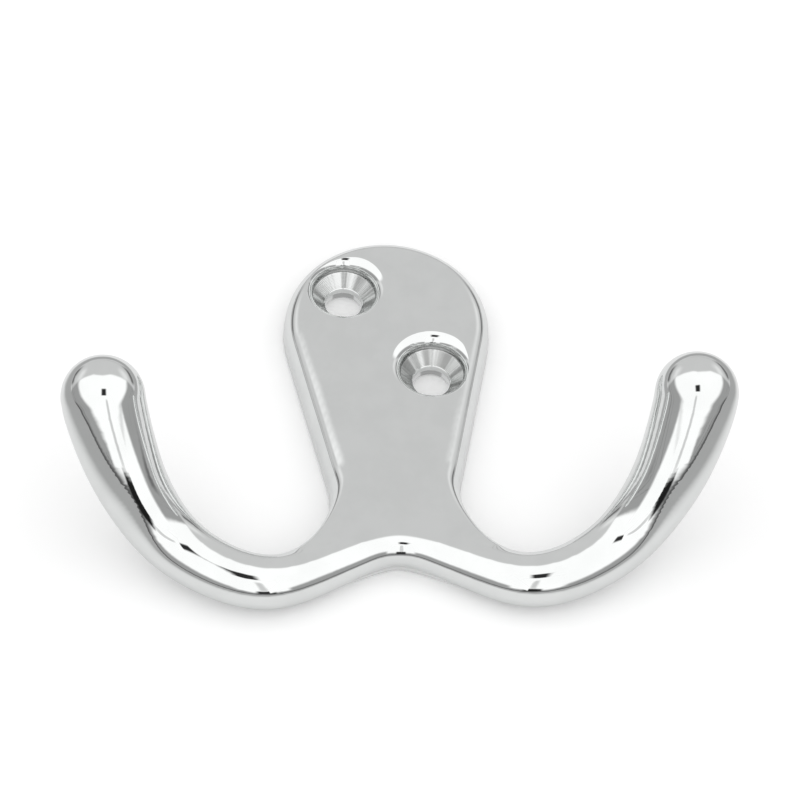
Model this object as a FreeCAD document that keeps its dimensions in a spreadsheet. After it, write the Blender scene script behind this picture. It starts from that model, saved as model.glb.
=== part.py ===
import FreeCAD, Part
import math
import os
import Sketcher
from FreeCAD import Vector

# Double robe hook: one casting, a paddle-shaped wall plate with two arms that leave its foot,
# dip, and then curl forward and up to rounded ends.
# Frame: X to the right, Z up, the back lies in the XZ plane and the hook stands out towards -Y.
# The origin is midway between the two screw holes, on the back.

doc = FreeCAD.newDocument("double_robe_hook")

# Driving dimensions, in millimetres and degrees

DIMENSIONS = {
    # Wall plate: a round head, straight flanks, and a waist that opens into the fork
    "plate_thickness": 4.5,
    "grinding_stock": 1.0,
    "plate_draft": 3.0,
    "rim_round": 2.4,
    "head_radius": 11.5,
    "head_rise": 1.5,
    "waist_width": 14.2,
    "waist_drop": 21.0,
    "fork_radius": 10.0,
    "foot_tuck": 0.4,
    # Screw holes for No. 6 countersunk wood screws: the one at the upper left, then its opposite
    "screw_out": 4.66,
    "screw_rise": 5.48,
    "screw_clearance": 4.2,
    "screw_head": 6.9,
    "screw_head_sunk": 1.7,
    "screw_head_angle": 90.0,
    "hole_rim_round": 1.5,
    # Bar stations, from the crotch to the tip: out from the middle, down, proud of the wall
    "crotch_drop": 27.8,
    "crotch_proud": 2.3,
    "crotch_radius": 2.4,
    "shoulder_out": 9.2,
    "shoulder_drop": 31.35,
    "shoulder_proud": 2.45,
    "shoulder_radius": 2.75,
    "dip_out": 16.0,
    "dip_drop": 32.7,
    "dip_proud": 2.9,
    "dip_radius": 3.05,
    "bend_out": 24.4,
    "bend_drop": 28.1,
    "bend_proud": 4.8,
    "bend_radius": 3.35,
    "rise_out": 29.0,
    "rise_drop": 23.6,
    "rise_proud": 11.4,
    "rise_radius": 3.9,
    "tip_out": 31.0,
    "tip_drop": 19.45,
    "tip_proud": 17.8,
    "tip_radius": 4.37,
    "ball_radius": 4.42,
}

sheet = doc.addObject("Spreadsheet::Sheet", "Sizes")
for row, (name, value) in enumerate(DIMENSIONS.items(), start=1):
    sheet.set(f"A{row}", name)
    sheet.set(f"B{row}", str(value))
    sheet.setAlias(f"B{row}", name)
doc.recompute()


def size(name):
    """The present value of a driving dimension."""
    return float(sheet.get(name))


# The casting and its sketches

hook = doc.addObject("PartDesign::Body", "hook")
hook.Label = "robe_hook"
datums = {feature.Role: feature for feature in hook.Origin.OriginFeatures}

RIGHT, LEFT = 1, -1
HANDS = {RIGHT: "right", LEFT: "left"}
ORIGIN = (-1, 1)
HORIZONTAL_AXIS, VERTICAL_AXIS = -1, -2
START, END, CENTRE = 1, 2, 3
NORMAL = Vector(0, 0, 1)


def placement(centre, turn):
    """Expression for a placement, from three coordinates and three angles."""
    return f"create(<<placement>>; create(<<vector>>; {centre}); create(<<rotation>>; {turn}))"


def new_sketch(name, plane="XZ_Plane", centre="0; 0; 0", turn="0; 0; 0"):
    """A sketch on an origin plane. On the wall plane its x is X, its y is Z, and it faces the room."""
    sketch = hook.newObject("Sketcher::SketchObject", name)
    sketch.AttachmentSupport = (datums[plane], [""])
    sketch.MapMode = "FlatFace"
    sketch.setExpression("AttachmentOffset", placement(centre, turn))
    return sketch


def bind(sketch, kind, *where, to):
    """Add a dimension to a sketch and tie it to the sheet."""
    index = sketch.addConstraint(Sketcher.Constraint(kind, *where, float(sketch.evalExpression(to))))
    sketch.setExpression(f"Constraints[{index}]", to)


def bind_out(sketch, side, geometry, point, to):
    """Tie how far a point lies out from the middle, on the right or on the left."""
    ends = (*ORIGIN, geometry, point) if side == RIGHT else (geometry, point, *ORIGIN)
    bind(sketch, "DistanceX", *ends, to=to)


def bind_drop(sketch, geometry, point, to):
    """Tie how far a point lies below the origin."""
    bind(sketch, "DistanceY", geometry, point, *ORIGIN, to=to)


# Wall plate

def plate_outline():
    """Head arc, straight flanks, fork arcs, and a foot that ends inside the bar, above its middle line."""
    sketch = new_sketch("plate_outline", centre="0; 0; -Sizes.grinding_stock")
    head, fork = size("head_radius"), size("fork_radius")
    head_centre = Vector(0, size("head_rise"))
    fork_centre = Vector(size("waist_width") / 2 + fork, -size("waist_drop"))
    between = fork_centre - head_centre
    lean = math.atan2(-between.y, between.x) - math.acos((head + fork) / between.Length)
    outward = Vector(math.cos(lean), -math.sin(lean))

    head_arc = sketch.addGeometry(
        Part.ArcOfCircle(Part.Circle(head_centre, NORMAL, head), -lean, math.pi + lean))
    sketch.addConstraint(Sketcher.Constraint("PointOnObject", head_arc, CENTRE, VERTICAL_AXIS))
    bind(sketch, "Radius", head_arc, to="Sizes.head_radius")
    bind(sketch, "DistanceY", *ORIGIN, head_arc, CENTRE, to="Sizes.head_rise")

    shoulder = Vector(size("shoulder_out"), size("foot_tuck") - size("shoulder_drop"))
    sag = size("shoulder_drop") - size("crotch_drop")
    foot = (shoulder.x ** 2 + sag ** 2) / (2 * sag)
    half_span = math.asin(shoulder.x / foot)
    foot_circle = Part.Circle(Vector(0, size("foot_tuck") - size("crotch_drop") - foot), NORMAL, foot)
    foot_arc = sketch.addGeometry(
        Part.ArcOfCircle(foot_circle, math.pi / 2 - half_span, math.pi / 2 + half_span))
    bind_drop(sketch, foot_arc, CENTRE,
              "Sizes.crotch_drop - Sizes.foot_tuck"
              " + (Sizes.shoulder_out^2 + (Sizes.shoulder_drop - Sizes.crotch_drop)^2)"
              " / (2 * (Sizes.shoulder_drop - Sizes.crotch_drop))")

    for side in (RIGHT, LEFT):
        def mirrored(point):
            return Vector(side * point.x, point.y)

        flank = sketch.addGeometry(Part.LineSegment(mirrored(head_centre + outward * head),
                                                    mirrored(fork_centre - outward * fork)))
        sweep = (math.pi - lean, 1.5 * math.pi) if side == RIGHT else (-math.pi / 2, lean)
        fork_arc = sketch.addGeometry(
            Part.ArcOfCircle(Part.Circle(mirrored(fork_centre), NORMAL, fork), *sweep))
        toe = sketch.addGeometry(Part.LineSegment(mirrored(fork_centre - Vector(0, fork)),
                                                  mirrored(shoulder)))
        near, far = (START, END) if side == RIGHT else (END, START)
        sketch.addConstraint([
            Sketcher.Constraint("Tangent", head_arc, near, flank, START),
            Sketcher.Constraint("Tangent", flank, END, fork_arc, near),
            Sketcher.Constraint("Vertical", fork_arc, CENTRE, fork_arc, far),
            Sketcher.Constraint("Coincident", fork_arc, far, toe, START),
            Sketcher.Constraint("Coincident", toe, END, foot_arc, near),
        ])
        bind(sketch, "Radius", fork_arc, to="Sizes.fork_radius")
        bind_out(sketch, side, fork_arc, CENTRE, "Sizes.waist_width / 2 + Sizes.fork_radius")
        bind_drop(sketch, fork_arc, CENTRE, "Sizes.waist_drop")
        bind_out(sketch, side, toe, END, "Sizes.shoulder_out")
        bind_drop(sketch, toe, END, "Sizes.shoulder_drop - Sizes.foot_tuck")
    return sketch


plate = hook.newObject("PartDesign::Pad", "plate")
plate.Profile = plate_outline()
plate.setExpression("Length", "Sizes.plate_thickness + Sizes.grinding_stock")
plate.setExpression("TaperAngle", "-Sizes.plate_draft")
doc.recompute()


def is_front_rim(edge):
    """Edges of the face that start at the waist or above. Those of the foot lie inside the bar."""
    on_face = all(abs(vertex.Y + size("plate_thickness")) < 1e-6 for vertex in edge.Vertexes)
    return on_face and max(vertex.Z for vertex in edge.Vertexes) > -size("waist_drop")


rim_edges = [f"Edge{number}" for number, edge in enumerate(plate.Shape.Edges, start=1) if is_front_rim(edge)]
rim = hook.newObject("PartDesign::Fillet", "plate_rim")
rim.Base = (plate, rim_edges)
rim.setExpression("Radius", "Sizes.rim_round")
doc.recompute()

# Arms: one round bar from tip to tip, lofted through its stations.
# A last narrower station inside each end ball keeps the bar straight where it runs into the ball.

STATIONS = ["crotch", "shoulder", "dip", "bend", "rise", "tip", "core"]
CORE_REACH = 0.25
CORE_SHARE = 0.85


def station_term(station, direction):
    """Expression for one coordinate of a station of the right-hand arm."""
    if station == "core":
        return f"((1 + {CORE_REACH}) * Sizes.tip_{direction} - {CORE_REACH} * Sizes.rise_{direction})"
    if station == "crotch" and direction == "out":
        return "0"
    return f"Sizes.{station}_{direction}"


def station_centre(station, side):
    """Expressions for a station's centre: across, up and proud of the wall."""
    return [
        f"({side} * {station_term(station, 'out')})",
        f"(-{station_term(station, 'drop')})",
        station_term(station, "proud"),
    ]


def station_turn(before, after):
    """Angles that set a sketch square to the line from one station to another, its x to the wall."""
    along, up, proud = [f"({b} - {a})" for a, b in zip(station_centre(*before), station_centre(*after))]
    yaw = f"atan2({up}; {along}) / 1 deg"
    pitch = f"90 - atan2({proud}; hypot({along}; {up})) / 1 deg"
    return f"{yaw}; {pitch}; 0"


left_half = [(station, LEFT) for station in reversed(STATIONS[1:])]
bar = left_half + [(station, RIGHT) for station in STATIONS]

sections = []
for index, (station, side) in enumerate(bar):
    before, after = bar[max(index - 1, 0)], bar[min(index + 1, len(bar) - 1)]
    section = new_sketch(f"{HANDS[side]}_{station}",
                         centre="; ".join(station_centre(station, side)),
                         turn=station_turn(before, after))
    radius = f"{CORE_SHARE} * Sizes.tip_radius" if station == "core" else f"Sizes.{station}_radius"
    ring = section.addGeometry(Part.Circle(Vector(), NORMAL, float(section.evalExpression(radius))))
    section.addConstraint(Sketcher.Constraint("Coincident", ring, CENTRE, *ORIGIN))
    bind(section, "Radius", ring, to=radius)
    sections.append(section)

arms = hook.newObject("PartDesign::AdditiveLoft", "arms")
arms.Profile = sections[0]
arms.Sections = sections[1:]
doc.recompute()

for side in (LEFT, RIGHT):
    ball = hook.newObject("PartDesign::AdditiveSphere", f"{HANDS[side]}_end")
    ball.AttachmentSupport = (datums["XZ_Plane"], [""])
    ball.MapMode = "FlatFace"
    ball.setExpression("AttachmentOffset",
                       placement("; ".join(station_centre("tip", side)),
                                 station_turn(("rise", side), ("tip", side))))
    ball.setExpression("Radius", "Sizes.ball_radius")
    doc.recompute()


# Flat back: the plate's stock, and what of the bar lies behind the wall plane, is ground away

def back_frame():
    """A rectangle on the wall plane, wider and taller than the hook."""
    sketch = new_sketch("back_frame")
    out, rise, drop = "Sizes.tip_out + 2 * Sizes.ball_radius", "2 * Sizes.head_radius", "2 * Sizes.dip_drop"
    right, top, bottom = [float(sketch.evalExpression(reach)) for reach in (out, rise, drop)]
    corners = [Vector(right, top), Vector(-right, top), Vector(-right, -bottom), Vector(right, -bottom)]
    lines = [sketch.addGeometry(Part.LineSegment(a, b)) for a, b in zip(corners, corners[1:] + corners[:1])]
    for line, following in zip(lines, lines[1:] + lines[:1]):
        sketch.addConstraint(Sketcher.Constraint("Coincident", line, END, following, START))
    for line, direction in zip(lines, ("Horizontal", "Vertical", "Horizontal", "Vertical")):
        sketch.addConstraint(Sketcher.Constraint(direction, line))
    bind_out(sketch, RIGHT, lines[0], START, out)
    bind_out(sketch, LEFT, lines[0], END, out)
    bind(sketch, "DistanceY", *ORIGIN, lines[0], START, to=rise)
    bind_drop(sketch, lines[2], START, drop)
    return sketch


volumes = [hook.Shape.Volume]
back = hook.newObject("PartDesign::Pocket", "flat_back")
back.Profile = back_frame()
back.Type = "ThroughAll"
doc.recompute()
volumes.append(back.Shape.Volume)

# Screw holes: clearance, countersink, straight wall and rounded rim, turned in one cut.
# The rim's arc starts a hair above the face, so that it crosses the face instead of only touching it.

RIM_CROSSING = 0.03


def hole_section():
    """Half section of the upper left hole: the sketch's x runs along its axis, its y is the radius."""
    sketch = new_sketch("hole_section", plane="YZ_Plane", centre="0; Sizes.screw_rise; -Sizes.screw_out")
    clearance, head, rim = size("screw_clearance") / 2, size("screw_head") / 2, size("hole_rim_round")
    ahead, behind = -2 * size("plate_thickness"), size("plate_thickness")
    seat = size("screw_head_sunk") - size("plate_thickness")
    throat = seat + (head - clearance) / math.tan(math.radians(size("screw_head_angle") / 2))
    brow = -size("plate_thickness") - RIM_CROSSING

    def line(*ends):
        return sketch.addGeometry(Part.LineSegment(*[Vector(x, y) for x, y in ends]))

    axis = line((ahead, 0), (behind, 0))
    far_end = line((behind, 0), (behind, clearance))
    bore = line((behind, clearance), (throat, clearance))
    cone = line((throat, clearance), (seat, head))
    wall = line((seat, head), (brow + rim, head))
    arc = sketch.addGeometry(Part.ArcOfCircle(
        Part.Circle(Vector(brow + rim, head + rim), NORMAL, rim), math.pi, 1.5 * math.pi))
    above = line((brow, head + rim), (ahead, head + rim))
    near_end = line((ahead, head + rim), (ahead, 0))

    for first, second in ((axis, far_end), (far_end, bore), (bore, cone), (cone, wall), (above, near_end),
                          (near_end, axis)):
        sketch.addConstraint(Sketcher.Constraint("Coincident", first, END, second, START))
    for level in (axis, bore, wall, above):
        sketch.addConstraint(Sketcher.Constraint("Horizontal", level))
    for upright in (far_end, near_end):
        sketch.addConstraint(Sketcher.Constraint("Vertical", upright))
    sketch.addConstraint([
        Sketcher.Constraint("PointOnObject", axis, START, HORIZONTAL_AXIS),
        Sketcher.Constraint("Tangent", wall, END, arc, END),
        Sketcher.Constraint("Coincident", arc, START, above, START),
        Sketcher.Constraint("Horizontal", arc, CENTRE, arc, START),
    ])
    bind(sketch, "DistanceX", *ORIGIN, axis, END, to="Sizes.plate_thickness")
    bind(sketch, "DistanceX", axis, START, *ORIGIN, to="2 * Sizes.plate_thickness")
    bind(sketch, "DistanceY", *ORIGIN, bore, START, to="Sizes.screw_clearance / 2")
    bind(sketch, "DistanceY", *ORIGIN, wall, START, to="Sizes.screw_head / 2")
    bind(sketch, "DistanceX", wall, START, *ORIGIN, to="Sizes.plate_thickness - Sizes.screw_head_sunk")
    bind(sketch, "DistanceX", cone, END, cone, START,
         to="(Sizes.screw_head - Sizes.screw_clearance) / 2 / tan(Sizes.screw_head_angle / 2 * 1 deg)")
    bind(sketch, "Radius", arc, to="Sizes.hole_rim_round")
    bind(sketch, "DistanceX", arc, START, *ORIGIN, to=f"Sizes.plate_thickness + {RIM_CROSSING}")
    return sketch


hole = hook.newObject("PartDesign::Groove", "screw_hole")
hole_profile = hole_section()
hole.Profile = hole_profile
hole.ReferenceAxis = (hole_profile, ["H_Axis"])
hole.Angle = 360
doc.recompute()
volumes.append(hole.Shape.Volume)

holes = hook.newObject("PartDesign::PolarPattern", "screw_holes")
holes.Originals = [hole]
holes.Axis = (datums["Y_Axis"], [""])
holes.Angle = 360
holes.Occurrences = 2
hook.Tip = holes
doc.recompute()
volumes.append(holes.Shape.Volume)

# Checks, then the file

for obj in doc.Objects:
    if "Invalid" in obj.State or "Error" in obj.State:
        raise RuntimeError(f"{obj.Name} failed: {obj.State}")
if hook.Shape.isNull() or not hook.Shape.isValid() or len(hook.Shape.Solids) != 1:
    raise RuntimeError("the casting is not one valid solid")
if any(after >= before for before, after in zip(volumes, volumes[1:])):
    raise RuntimeError(f"a cut removed nothing: {volumes}")

os.makedirs("parts", exist_ok=True)
hook.Shape.exportStep(f"parts/{hook.Label}.step")
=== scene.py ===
import bmesh
import bpy
import math
from mathutils import Matrix, Vector


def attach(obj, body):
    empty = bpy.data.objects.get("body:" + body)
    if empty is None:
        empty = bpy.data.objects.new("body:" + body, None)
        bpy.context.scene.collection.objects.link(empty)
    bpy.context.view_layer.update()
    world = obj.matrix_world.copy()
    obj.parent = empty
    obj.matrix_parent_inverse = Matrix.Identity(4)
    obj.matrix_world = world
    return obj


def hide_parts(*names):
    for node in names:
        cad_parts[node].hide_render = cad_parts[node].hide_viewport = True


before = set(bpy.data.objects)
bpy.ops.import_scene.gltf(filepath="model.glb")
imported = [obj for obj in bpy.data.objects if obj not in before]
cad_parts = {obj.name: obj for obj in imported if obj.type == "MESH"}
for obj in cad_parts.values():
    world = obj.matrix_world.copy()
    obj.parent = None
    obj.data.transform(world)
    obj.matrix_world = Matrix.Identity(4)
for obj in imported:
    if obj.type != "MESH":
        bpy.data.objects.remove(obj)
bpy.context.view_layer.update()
scene = bpy.context.scene
scene.view_settings.view_transform = "Standard"

# Sizes in millimetres: the hook is modelled in them and brought to metres at the end

MM = 0.001

# Wall plate; the stock is left on its back until the back is cut flat
PLATE_THICKNESS = 4.5
PLATE_DRAFT = math.radians(3.0)
STOCK = 1.5
HEAD_RADIUS = 11.5
HEAD_RISE = 1.5
HEAD_STEPS = 48
WAIST_WIDTH = 14.2
WAIST_DROP = 21.0
FORK_RADIUS = 10.0
FORK_STEPS = 40
FOOT_CORNER = (9.2, -32.2)
FOOT_MIDDLE = -29.2

# Front rim: full down to the waist, fading to the foot line, a share of it along the fork, none on the bar
RIM_ROUND = 2.4
RIM_SEGMENTS = 10
FACE_BAND = 0.01
FOOT_LINE = -28.0
FORK_SHARE = 0.3
BAR_LINE = -29.5
BAR_FADE = 1.5

# Screw holes; the curve of a hole's rim crosses the plate's face by a little
SCREW_OUT = 4.66
SCREW_RISE = 5.48
SCREW_CLEARANCE = 4.2
SCREW_HEAD = 6.9
SCREW_HEAD_SUNK = 1.7
HOLE_RIM = 1.5
HOLE_RIM_STEPS = 12
HOLE_STEPS = 128
RIM_CROSSING = 0.03

# Middle line of the right half of the bar: across, proud of the wall, up, and the bar's radius
BAR = [
    (0.0, 2.35, -27.2, 2.2),
    (4.8, 2.3, -29.06, 2.5),
    (9.2, 2.45, -31.35, 2.75),
    (13.3, 2.8, -33.1, 2.95),
    (17.3, 3.1, -32.5, 3.05),
    (21.0, 3.5, -30.7, 3.16),
    (24.6, 4.3, -28.02, 3.4),
    (27.6, 8.2, -25.46, 3.7),
    (29.55, 12.4, -23.14, 4.14),
    (30.97, 16.3, -19.84, 4.44),
    (31.09, 17.17, -19.0, 4.46),
]
BAR_ROUND = 30
BAR_STEPS = 24
TIP_RADIUS = 4.46
TIP_SEGMENTS = 96
TIP_RINGS = 48
ARM_START = 21.0
ARM_BLEND = 4.0

# Casting: the grain of its skin, the fillet where plate and bar meet, and the polishing
CAST_GRAIN = 0.25
CAST_FILLET = 1.2
EVEN_PASSES = 6
POLISH_PASSES = 30
SMOOTHING = 0.5
PLATE_WELD = 0.001
CUTTER_WELD = 0.0005
SHARP_EDGE = math.radians(28)


# Modelling helpers

def open_point(name, place):
    """Start a mesh from one point and stay in edit mode."""
    bpy.ops.object.select_all(action="DESELECT")
    bpy.ops.mesh.primitive_plane_add(size=1)
    obj = bpy.context.object
    obj.name = name
    bpy.ops.object.mode_set(mode="EDIT")
    bpy.ops.mesh.merge(type="CENTER")
    bpy.ops.transform.translate(value=place)
    return obj


def draw(move):
    """Draw the next edge from the selected point."""
    bpy.ops.mesh.extrude_region_move(TRANSFORM_OT_translate={"value": move})


def draw_through(points):
    """Draw edges through a row of points."""
    for here, there in zip(points, points[1:]):
        draw(Vector(there) - Vector(here))


def close_object():
    """Leave edit mode."""
    bpy.ops.object.mode_set(mode="OBJECT")


def pick(obj):
    """Select one object and make it the active one."""
    bpy.ops.object.select_all(action="DESELECT")
    obj.select_set(True)
    bpy.context.view_layer.objects.active = obj


def apply_modifier(obj, name, kind, **settings):
    """Add a modifier, set it and apply it."""
    modifier = obj.modifiers.new(name, kind)
    for key, value in settings.items():
        setattr(modifier, key, value)
    pick(obj)
    bpy.ops.object.modifier_apply(modifier=name)


def join(parts):
    """Make one object of several."""
    pick(parts[0])
    for part in parts:
        part.select_set(True)
    bpy.ops.object.join()
    return bpy.context.object


def copy(obj):
    """Make a second object of the same shape."""
    pick(obj)
    bpy.ops.object.duplicate()
    return bpy.context.object


# Wall plate: half an outline, mirrored, filled, raised with draft, and its front rim rounded

def weigh_front_rim(plate):
    """Mark the edges of the face for rounding: fully down to the waist, then less and less into the fork."""
    mesh = bmesh.from_edit_mesh(plate.data)
    weight = mesh.edges.layers.float.new("bevel_weight_edge")
    for edge in mesh.edges:
        middle = (edge.verts[0].co + edge.verts[1].co) / 2
        if middle.y < -PLATE_THICKNESS + FACE_BAND:
            share = (middle.z - FOOT_LINE) / (-WAIST_DROP - FOOT_LINE)
            at_bar = min(max((middle.z - BAR_LINE) / BAR_FADE, 0), 1)
            edge[weight] = min(max(share, FORK_SHARE * at_bar), 1)
    bmesh.update_edit_mesh(plate.data)


def model_plate():
    """Draw the plate: round head, leaning flanks, waist and fork."""
    head_centre = Vector((0, STOCK, HEAD_RISE))
    fork_centre = Vector((WAIST_WIDTH / 2 + FORK_RADIUS, STOCK, -WAIST_DROP))
    between = fork_centre - head_centre
    lean = math.atan2(-between.z, between.x) - math.acos((HEAD_RADIUS + FORK_RADIUS) / between.length)
    outward = Vector((math.cos(lean), 0, -math.sin(lean)))
    turn = math.pi / 2 + lean
    fork_foot = fork_centre - Vector((0, 0, FORK_RADIUS))
    corner_out, corner_up = FOOT_CORNER

    plate = open_point("plate", head_centre + Vector((0, 0, HEAD_RADIUS)))
    bpy.ops.mesh.spin(steps=HEAD_STEPS, angle=-turn, center=head_centre, axis=(0, 1, 0))
    draw_through([head_centre + outward * HEAD_RADIUS, fork_centre - outward * FORK_RADIUS])
    bpy.ops.mesh.spin(steps=FORK_STEPS, angle=turn, center=fork_centre, axis=(0, 1, 0))
    draw_through([fork_foot, (corner_out, STOCK, corner_up), (0, STOCK, FOOT_MIDDLE)])
    bpy.ops.mesh.select_all(action="SELECT")
    bpy.ops.mesh.duplicate()
    bpy.ops.transform.resize(value=(-1, 1, 1), center_override=(0, 0, 0))
    bpy.ops.mesh.select_all(action="SELECT")
    bpy.ops.mesh.remove_doubles(threshold=PLATE_WELD)
    bpy.ops.mesh.edge_face_add()
    bpy.ops.mesh.extrude_region_move(TRANSFORM_OT_translate={"value": (0, -STOCK, 0)})
    bpy.ops.mesh.inset(thickness=PLATE_THICKNESS * math.tan(PLATE_DRAFT), depth=-PLATE_THICKNESS)
    weigh_front_rim(plate)
    close_object()
    apply_modifier(plate, "rim", "BEVEL", width=RIM_ROUND, segments=RIM_SEGMENTS, limit_method="WEIGHT",
                   use_clamp_overlap=False)
    return plate


# Arms: a path through the stations, swept with the bar's radius, and a ball on each end

def model_bar():
    """Sweep the bar from tip to tip."""
    stations = [(-x, proud, up, radius) for x, proud, up, radius in reversed(BAR[1:])] + BAR
    path = [(x, -proud, up) for x, proud, up, radius in stations]
    open_point("bar", path[0])
    draw_through(path)
    close_object()
    bpy.ops.object.convert(target="CURVE")
    bar = bpy.context.object
    bpy.ops.object.mode_set(mode="EDIT")
    bpy.ops.curve.select_all(action="SELECT")
    bpy.ops.curve.spline_type_set(type="NURBS")
    close_object()
    spline = bar.data.splines[0]
    spline.order_u = 4
    spline.use_endpoint_u = True
    for point, (x, proud, up, radius) in zip(spline.points, stations):
        point.radius = radius
    bar.data.bevel_depth = 1
    bar.data.bevel_resolution = BAR_ROUND
    bar.data.resolution_u = BAR_STEPS
    bar.data.use_fill_caps = True
    bpy.ops.object.convert(target="MESH")
    return bpy.context.object


def model_ends():
    """Make the two balls that round off the tips."""
    ends = []
    x, proud, up, radius = BAR[-1]
    for side in (-1, 1):
        bpy.ops.mesh.primitive_uv_sphere_add(segments=TIP_SEGMENTS, ring_count=TIP_RINGS, radius=TIP_RADIUS,
                                             location=(side * x, -proud, up))
        bpy.ops.object.transform_apply(location=True)
        ends.append(bpy.context.object)
    return ends


# Screw hole cutter: clearance, cone, straight wall and rounded rim, drawn in half section and spun

def model_cutter(side):
    """Make the cutter for the left (-1) or the right (1) hole."""
    clearance, head = SCREW_CLEARANCE / 2, SCREW_HEAD / 2
    seat = SCREW_HEAD_SUNK - PLATE_THICKNESS
    throat = seat + head - clearance
    brow = -PLATE_THICKNESS - RIM_CROSSING
    x, z = side * SCREW_OUT, -side * SCREW_RISE

    def section(*corners):
        return [Vector((x + radius, y, z)) for radius, y in corners]

    corners = section((0, STOCK), (clearance, STOCK), (clearance, throat), (head, seat),
                      (head, brow + HOLE_RIM))
    cutter = open_point("cutter", corners[0])
    draw_through(corners)
    rim_centre = Vector((x + head + HOLE_RIM, brow + HOLE_RIM, z))
    bpy.ops.mesh.spin(steps=HOLE_RIM_STEPS, angle=-math.pi / 2, center=rim_centre, axis=(0, 0, 1))
    draw_through(section((head + HOLE_RIM, brow), (head + HOLE_RIM, 2 * brow), (0, 2 * brow)))
    bpy.ops.mesh.select_all(action="SELECT")
    bpy.ops.mesh.spin(steps=HOLE_STEPS, angle=2 * math.pi, center=(x, 0, z), axis=(0, 1, 0))
    bpy.ops.mesh.select_all(action="SELECT")
    bpy.ops.mesh.remove_doubles(threshold=CUTTER_WELD)
    bpy.ops.mesh.normals_make_consistent(inside=False)
    close_object()
    return cutter


# Casting: plate and bar melted together, the arms made even, polished, cut flat behind and drilled

def cast(hook):
    """Melt the parts into one even skin."""
    apply_modifier(hook, "melt", "REMESH", mode="VOXEL", voxel_size=CAST_GRAIN)
    apply_modifier(hook, "even", "SMOOTH", factor=SMOOTHING, iterations=EVEN_PASSES)


def true_arms(hook, bar):
    """Draw the free arms back to the even round of the bar."""
    arms = hook.vertex_groups.new(name="arms")
    for vertex in hook.data.vertices:
        share = (abs(vertex.co.x) - ARM_START) / ARM_BLEND
        if share > 0:
            arms.add([vertex.index], min(share, 1), "REPLACE")
    apply_modifier(hook, "true", "SHRINKWRAP", target=bar, wrap_method="NEAREST_SURFACEPOINT",
                   vertex_group="arms")
    hook.vertex_groups.clear()
    bpy.data.objects.remove(bar)


def model_hook():
    """Make the whole casting, in metres at the end."""
    plate, bar = model_plate(), join([model_bar()] + model_ends())
    hook = join([plate, copy(bar)])
    hook.name = "hook"
    cast(hook)
    for swell in (CAST_FILLET, -CAST_FILLET):
        apply_modifier(hook, "swell", "DISPLACE", strength=swell, mid_level=0)
        cast(hook)
    true_arms(hook, bar)
    apply_modifier(hook, "polish", "SMOOTH", factor=SMOOTHING, iterations=POLISH_PASSES)
    bpy.ops.object.mode_set(mode="EDIT")
    bpy.ops.mesh.select_all(action="SELECT")
    bpy.ops.mesh.bisect(plane_co=(0, 0, 0), plane_no=(0, 1, 0), use_fill=True, clear_outer=True)
    close_object()
    for side in (-1, 1):
        cutter = model_cutter(side)
        apply_modifier(hook, "drill", "BOOLEAN", operation="DIFFERENCE", solver="EXACT", object=cutter)
        bpy.data.objects.remove(cutter)
    bpy.ops.object.mode_set(mode="EDIT")
    bpy.ops.mesh.select_all(action="SELECT")
    bpy.ops.transform.resize(value=(MM, MM, MM), center_override=(0, 0, 0))
    close_object()
    bpy.ops.object.shade_smooth_by_angle(angle=SHARP_EDGE)
    return hook


hook = model_hook()


# Looks

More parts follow.
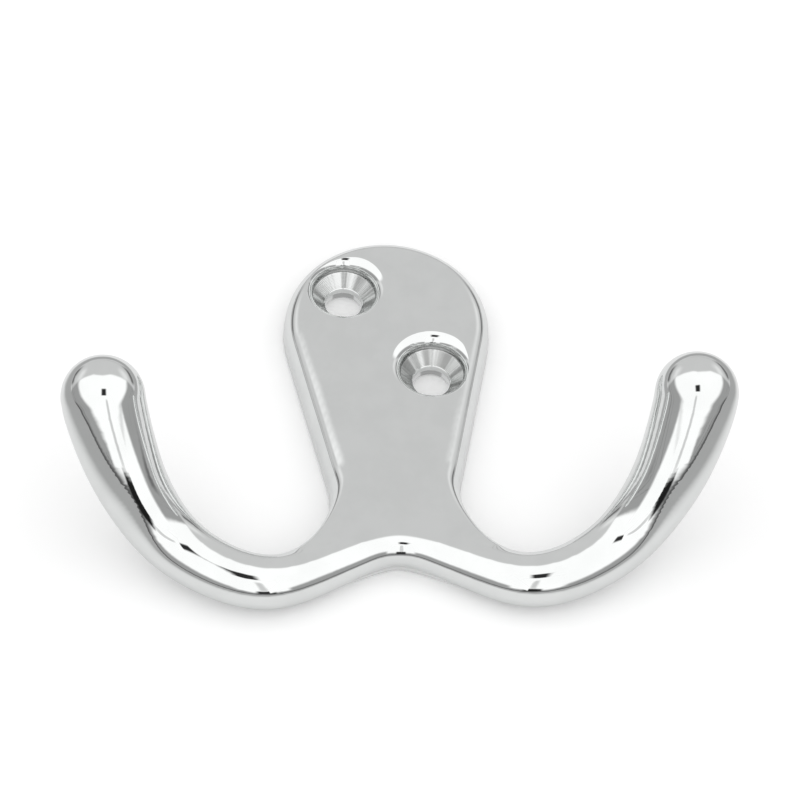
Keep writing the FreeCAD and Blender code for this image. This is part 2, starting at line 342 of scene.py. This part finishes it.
class Graph:
    """Short hands for the nodes of one owner's tree."""

    def __init__(self, owner):
        owner.use_nodes = True
        tree = owner.node_tree
        tree.nodes.clear()
        self.new, self.link = tree.nodes.new, tree.links.new

    def node(self, kind, **settings):
        made = self.new(kind)
        for key, value in settings.items():
            setattr(made, key, value)
        return made

    def feed(self, socket, value):
        """Link an output to the socket, or set a plain value on it."""
        if hasattr(value, "is_output"):
            self.link(value, socket)
        else:
            socket.default_value = value

    def fill(self, made, **values):
        """Feed sockets by their names, with a low line for each space."""
        for name, value in values.items():
            self.feed(made.inputs[name.replace("_", " ")], value)

    def number(self, operation, *values):
        made = self.node("ShaderNodeMath", operation=operation)
        for socket, value in zip(made.inputs, values):
            self.feed(socket, value)
        return made.outputs["Value"]

    def plus(self, first, second):
        return self.number("ADD", first, second)

    def less(self, first, second):
        return self.number("SUBTRACT", first, second)

    def times(self, first, *others):
        for other in others:
            first = self.number("MULTIPLY", first, other)
        return first

    def most(self, first, second):
        return self.number("MAXIMUM", first, second)

    def length(self, first, second):
        """Length of a line that goes so far one way and so far square to it."""
        return self.number("SQRT", self.plus(self.times(first, first), self.times(second, second)))

    def ease(self, value, start, end, low=0.0, high=1.0):
        """From low at start to high at end, with soft ends."""
        made = self.node("ShaderNodeMapRange", interpolation_type="SMOOTHSTEP")
        self.fill(made, Value=value, From_Min=start, From_Max=end, To_Min=low, To_Max=high)
        return made.outputs["Result"]

    def fade(self, value, base, ends):
        """From 0 to 1 between two places, given in millimetres from a base."""
        start, end = ends
        return self.ease(value, (base + start) * MM, (base + end) * MM)

    def bump_at(self, value, centre, reach):
        """1 at the centre, down to 0 at the reach on both sides."""
        return self.ease(self.number("ABSOLUTE", self.less(value, centre)), reach, 0.0)

    def darken(self, level, shade):
        """The level with a share of it taken away."""
        return self.times(level, self.less(1.0, shade))

    def noise(self, vector, scale, detail):
        made = self.node("ShaderNodeTexNoise")
        self.fill(made, Vector=vector, Scale=scale, Detail=detail)
        return made.outputs["Fac"]

    def axes(self, output="Object"):
        """The place as a vector, and its three parts."""
        place = self.node("ShaderNodeTexCoord").outputs[output]
        split = self.node("ShaderNodeSeparateXYZ")
        self.link(place, split.inputs["Vector"])
        return place, split.outputs["X"], split.outputs["Y"], split.outputs["Z"]

    def colours(self, share, first, second):
        """Blend of two colours."""
        made = self.node("ShaderNodeMix", data_type="RGBA")
        self.fill(made, Factor=share, A=first, B=second)
        return made.outputs["Result"]

    def surfaces(self, share, first, second):
        """Blend of two shaders."""
        made = self.node("ShaderNodeMixShader")
        for socket, value in zip(made.inputs, (share, first, second)):
            self.feed(socket, value)
        return made.outputs["Shader"]

    def send(self, shader, kind="ShaderNodeOutputMaterial"):
        """Send a shader to the output of the tree."""
        self.link(shader, self.node(kind).inputs["Surface"])


# Plating: each grain is a noise's scale and detail; a range is where a noise starts and stops to tell,
# with the low and the high value that it gives
PLATING_DEEP = (0.785, 0.797, 0.792, 1)
PLATING_PALE = (0.815, 0.827, 0.822, 1)
PLATING_GRAIN = (320.0, 5.0)
PLATING_RANGE = (0.3, 0.7)
# Dark tone of the painted reflection streaks on the turned cones and of the painted shade on the holes' walls
STREAK_AND_SHADE_TONE = (0.36, 0.365, 0.36, 1)
WIPE_GRAIN = (1500.0, 4.0)
POLISHED_ROUGHNESS = (0.35, 0.8, 0.02, 0.05)
BACK_ROUGHNESS = (0.3, 0.7, 0.2, 0.34)
TURNED_ROUGHNESS = 0.14
POLISH_GRAIN = (190.0, 0.0)
POLISH_WAVE = 0.00003

# Turned countersinks: places in millimetres where a mark begins and where it is full
CUT_OUTER = (0.1, -0.1)
CUT_INNER = (0.03, 0.12)
CUT_DEPTH = (-0.3, -0.8)
# Painted shade on the straight wall of each hole below its rim: where it begins and where it is full, and the
# share of the dark tone that it takes
RECESS_OUTER = (1.2, 1.0)
RECESS_TOP = (0.65, 1.2)
RECESS_FLOOR = (0.3, -0.1)
WALL_SHADE_SHARE = 0.85
BACK_SKIN = (-0.15, -0.02)
TURNING_PITCH = 0.00011
TURNING_DEPTH = 0.000004
CHATTER_GRAIN = (900.0, 3.0)
# Painted reflection streaks round each turned cone: their grain, and where the noise starts and stops to
# tell, with the low and high share of the dark tone
STREAK_GRAIN = (3.2, 3.0)
STREAK_RANGE = (0.4, 0.62, 0.15, 1.0)


def chrome():
    """Bright plating, hand polished, with turned countersinks and a duller back; the cones carry painted
    reflection streaks and the holes' walls painted shade.
    """
    material = bpy.data.materials.new("plated_casting")
    graph = Graph(material)
    place, x, y, z = graph.axes()
    head, bore = SCREW_HEAD / 2, SCREW_CLEARANCE / 2
    seat = SCREW_HEAD_SUNK - PLATE_THICKNESS

    side = graph.number("SIGN", x)
    across = graph.less(x, graph.times(side, SCREW_OUT * MM))
    along = graph.plus(z, graph.times(side, SCREW_RISE * MM))
    off_axis = graph.length(across, along)
    turned = graph.times(graph.fade(off_axis, head, CUT_OUTER), graph.fade(off_axis, bore, CUT_INNER),
                         graph.fade(y, 0, CUT_DEPTH))
    # Band on each hole's straight wall that gets painted shade
    wall_shade_band = graph.times(graph.fade(off_axis, head, RECESS_OUTER),
                         graph.fade(y, -PLATE_THICKNESS, RECESS_TOP), graph.fade(y, seat, RECESS_FLOOR))
    unpolished = graph.fade(y, 0, BACK_SKIN)

    rings = graph.number("SINE", graph.times(off_axis, 2 * math.pi / TURNING_PITCH))
    cuts = graph.times(graph.plus(rings, graph.noise(place, *CHATTER_GRAIN)), turned)
    # Painted reflection streaks that run out from each hole's axis; the turning rings and chatter above are
    # real bumps
    round_axis = graph.node("ShaderNodeCombineXYZ")
    graph.fill(round_axis, X=graph.number("DIVIDE", across, off_axis),
               Y=graph.number("DIVIDE", along, off_axis), Z=side)
    painted_streaks = graph.ease(graph.noise(round_axis.outputs["Vector"], *STREAK_GRAIN), *STREAK_RANGE)

    waves = graph.times(graph.noise(place, *POLISH_GRAIN), POLISH_WAVE)
    bump = graph.node("ShaderNodeBump")
    graph.fill(bump, Strength=1, Distance=1, Height=graph.plus(waves, graph.times(cuts, TURNING_DEPTH)))

    wipe = graph.noise(place, *WIPE_GRAIN)
    back = graph.times(unpolished, graph.ease(wipe, *BACK_ROUGHNESS))
    worked = graph.plus(graph.times(turned, TURNED_ROUGHNESS), back)
    roughness = graph.plus(graph.ease(wipe, *POLISHED_ROUGHNESS), worked)

    clouds = graph.ease(graph.noise(place, *PLATING_GRAIN), *PLATING_RANGE)
    plating = graph.colours(clouds, PLATING_DEEP, PLATING_PALE)
    # Painted shade on the holes' straight walls and painted reflection streaks on the turned cones, blended
    # into the plating's colour
    painted_wall_shade = graph.times(graph.most(graph.less(wall_shade_band, turned), 0.0), WALL_SHADE_SHARE)
    tone = graph.colours(graph.most(graph.times(turned, painted_streaks), painted_wall_shade), plating, STREAK_AND_SHADE_TONE)

    shader = graph.node("ShaderNodeBsdfPrincipled")
    graph.fill(shader, Metallic=1, Base_Color=tone, Roughness=roughness, Normal=bump.outputs["Normal"])
    graph.send(shader.outputs["BSDF"])
    return material


hook.data.materials.clear()
hook.data.materials.append(chrome())
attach(hook, "root")
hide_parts("robe_hook")

# Stage: a white table that lies behind the hook's back, seen from the room side only.
# The plating mirrors it as a sheet that ends not far off, and the back looks through it where they touch

TABLE_SIZE = 6
TABLE_GAP = 0.0002
TABLE_TONE = 0.7
TABLE_SEEN = 0.35
TABLE_MIRRORED = 0.16
CONTACT_GAP = 0.0012
SHEET_START = 0.05
SHEET_END = 0.085
SHEET_FALL = 0.42


def table_material():
    """White paper, clear from behind."""
    material = bpy.data.materials.new("table_white")
    graph = Graph(material)
    path = graph.node("ShaderNodeLightPath").outputs
    mirrored = graph.most(path["Is Glossy Ray"], path["Is Transmission Ray"])
    x, y = graph.axes()[1:3]
    far = graph.ease(graph.length(x, y), SHEET_START, SHEET_END)
    sheet = graph.less(TABLE_MIRRORED, graph.times(far, SHEET_FALL))
    seen = graph.times(path["Is Camera Ray"], TABLE_SEEN)
    paper = graph.node("ShaderNodeBsdfDiffuse")
    graph.fill(paper, Color=graph.plus(TABLE_TONE, graph.plus(seen, graph.times(mirrored, sheet))))
    clear = graph.node("ShaderNodeBsdfTransparent")
    touching = graph.times(mirrored, graph.number("LESS_THAN", path["Ray Length"], CONTACT_GAP))
    behind = graph.node("ShaderNodeNewGeometry").outputs["Backfacing"]
    graph.send(graph.surfaces(graph.most(behind, touching), paper.outputs["BSDF"], clear.outputs["BSDF"]))
    return material


bpy.ops.mesh.primitive_plane_add(size=TABLE_SIZE, location=(0, TABLE_GAP, 0), rotation=(math.pi / 2, 0, 0))
table = bpy.context.object
table.name = "table"
table.data.materials.append(table_material())

# Levels of the light round the hook
WHITE_LEVEL = 1.22
GREY_LEVEL = 0.69
LOW_LEVEL = 0.4


# White and dark cards in front, which only the plating mirrors

CARD_EDGE = 0.5
LOWER_SOFTNESS = 0.8


def card_material(name, level, soft_sides, soft_ends):
    """A card of one level that fades out towards its sides and its ends."""
    material = bpy.data.materials.new(name)
    graph = Graph(material)
    x, y = graph.axes()[1:3]
    sides = graph.ease(graph.number("ABSOLUTE", x), CARD_EDGE, CARD_EDGE - soft_sides)
    upper = graph.ease(y, CARD_EDGE, CARD_EDGE - soft_ends)
    lower = graph.ease(y, -CARD_EDGE, LOWER_SOFTNESS * soft_ends - CARD_EDGE)
    glow = graph.node("ShaderNodeEmission")
    graph.fill(glow, Color=(level, level, level, 1))
    clear = graph.node("ShaderNodeBsdfTransparent")
    shape = graph.times(sides, upper, lower)
    graph.send(graph.surfaces(shape, clear.outputs["BSDF"], glow.outputs["Emission"]))
    return material


def card(name, width, height, place, level, soft_sides, soft_ends, tilt=180, turn=0):
    """A flat card near the hook: sizes in metres, tilt about X and turn about Y in degrees."""
    facing = (math.radians(tilt), math.radians(turn), 0)
    bpy.ops.mesh.primitive_plane_add(size=1, location=place, rotation=facing)
    bpy.ops.transform.resize(value=(width, height, 1), orient_type="LOCAL")
    made = bpy.context.object
    made.name = name
    made.data.materials.append(card_material(name, level, soft_sides, soft_ends))
    made.visible_camera = False
    made.visible_diffuse = False
    made.visible_shadow = False


card("white_card", width=0.13, height=0.22, place=(0.006, -0.128, -0.15), level=WHITE_LEVEL,
     soft_sides=0.12, soft_ends=0.1)
card("low_card", width=0.042, height=0.03, place=(0.002, -0.022, -0.13), level=0.015,
     soft_sides=0.2, soft_ends=0.35)
card("fin_card", width=0.062, height=0.026, place=(0.0, -0.024, -0.072), level=WHITE_LEVEL,
     soft_sides=0.1, soft_ends=0.25, turn=90)
card("high_card", width=0.12, height=0.27, place=(-0.01, -0.36, -0.22), level=0.03,
     soft_sides=0.3, soft_ends=0.12, tilt=121)
card("post_card", width=0.024, height=0.15, place=(0.0, -0.095, -0.147), level=0.72,
     soft_sides=0.4, soft_ends=0.3)

# World: a broad white light overhead and in front, grey behind it, dim low down, dark lines near the horizon,
# and on both sides at the back a glow above a dark rail. Heights and reaches are parts of a direction

FRONT_LEAN = 0.466
FRONT_SPREAD = 0.22
FRONT_EDGE = (-0.08, 0.06)
LOW_SPREAD = 0.3
LOW_EDGE = (0.08, 0.26)
HORIZON_LINE = (0.02, 0.075)
HORIZON_FRONT = (-0.1, -0.35)
HORIZON_DEPTH = 0.7
BROKEN_LINES = ((0.105, 0.013, 0.5), (0.18, 0.008, 0.35))
BROKEN_GRAIN = (2.6, 3.0)
BROKEN_RANGE = (0.42, 0.58)
ASIDE_BACK = (0.35, 0.5)
ASIDE_OUT = (0.4, 0.65)
GLOW_LINE = (0.42, 0.2)
GLOW_LEVEL = 0.22
RAIL_LINE = (0.09, 0.13)
RAIL_DEPTH = 0.75


def studio_world():
    """The light that the plating mirrors, plain white to the camera."""
    world = bpy.data.worlds.new("studio")
    graph = Graph(world)
    place, x, y, z = graph.axes("Generated")
    off_table = graph.times(y, -1.0)
    to_side = graph.number("ABSOLUTE", x)

    edge = graph.plus(graph.times(off_table, FRONT_LEAN), graph.times(to_side, FRONT_SPREAD))
    front_light = graph.ease(graph.less(edge, z), *FRONT_EDGE)
    over_low = graph.less(off_table, graph.times(to_side, LOW_SPREAD))
    height_light = graph.ease(over_low, *LOW_EDGE, LOW_LEVEL, WHITE_LEVEL)
    level = graph.plus(GREY_LEVEL, graph.times(front_light, graph.less(height_light, GREY_LEVEL)))

    in_front = graph.ease(z, *HORIZON_FRONT)
    level = graph.darken(level, graph.times(graph.bump_at(off_table, *HORIZON_LINE), in_front, HORIZON_DEPTH))
    broken = graph.ease(graph.noise(place, *BROKEN_GRAIN), *BROKEN_RANGE)
    for height, reach, depth in BROKEN_LINES:
        level = graph.darken(level, graph.times(graph.bump_at(off_table, height, reach), depth, broken))
    aside = graph.times(graph.ease(z, *ASIDE_BACK), graph.ease(to_side, *ASIDE_OUT))
    level = graph.plus(level, graph.times(aside, graph.bump_at(off_table, *GLOW_LINE), GLOW_LEVEL))
    level = graph.darken(level, graph.times(aside, graph.bump_at(off_table, *RAIL_LINE), RAIL_DEPTH))

    seen = graph.node("ShaderNodeLightPath").outputs["Is Camera Ray"]
    back = graph.node("ShaderNodeBackground")
    graph.fill(back, Color=(1, 1, 1, 1), Strength=graph.plus(graph.darken(level, seen), seen))
    graph.send(back.outputs["Background"], "ShaderNodeOutputWorld")
    return world


scene.world = studio_world()

# Camera: turned to the hook, then shifted across and up and drawn back along its own axes

CAMERA_RISE = math.radians(53.29)
CAMERA_YAW = math.radians(6.29)
CAMERA_ROLL = math.radians(4.69)
CAMERA_PLACE = Vector((1.51, -5.54, 400)) * MM
SENSOR_WIDTH = 36
LENS_LENGTH = 161.5
camera_data = bpy.data.cameras.new("camera")
camera_data.sensor_width = SENSOR_WIDTH
camera_data.lens = LENS_LENGTH
camera = bpy.data.objects.new("camera", camera_data)
scene.collection.objects.link(camera)
aim = (Matrix.Rotation(CAMERA_YAW, 4, "Y") @ Matrix.Rotation(math.pi - CAMERA_RISE, 4, "X")
       @ Matrix.Rotation(CAMERA_ROLL, 4, "Z"))
camera.matrix_world = aim @ Matrix.Translation(CAMERA_PLACE)
scene.camera = camera
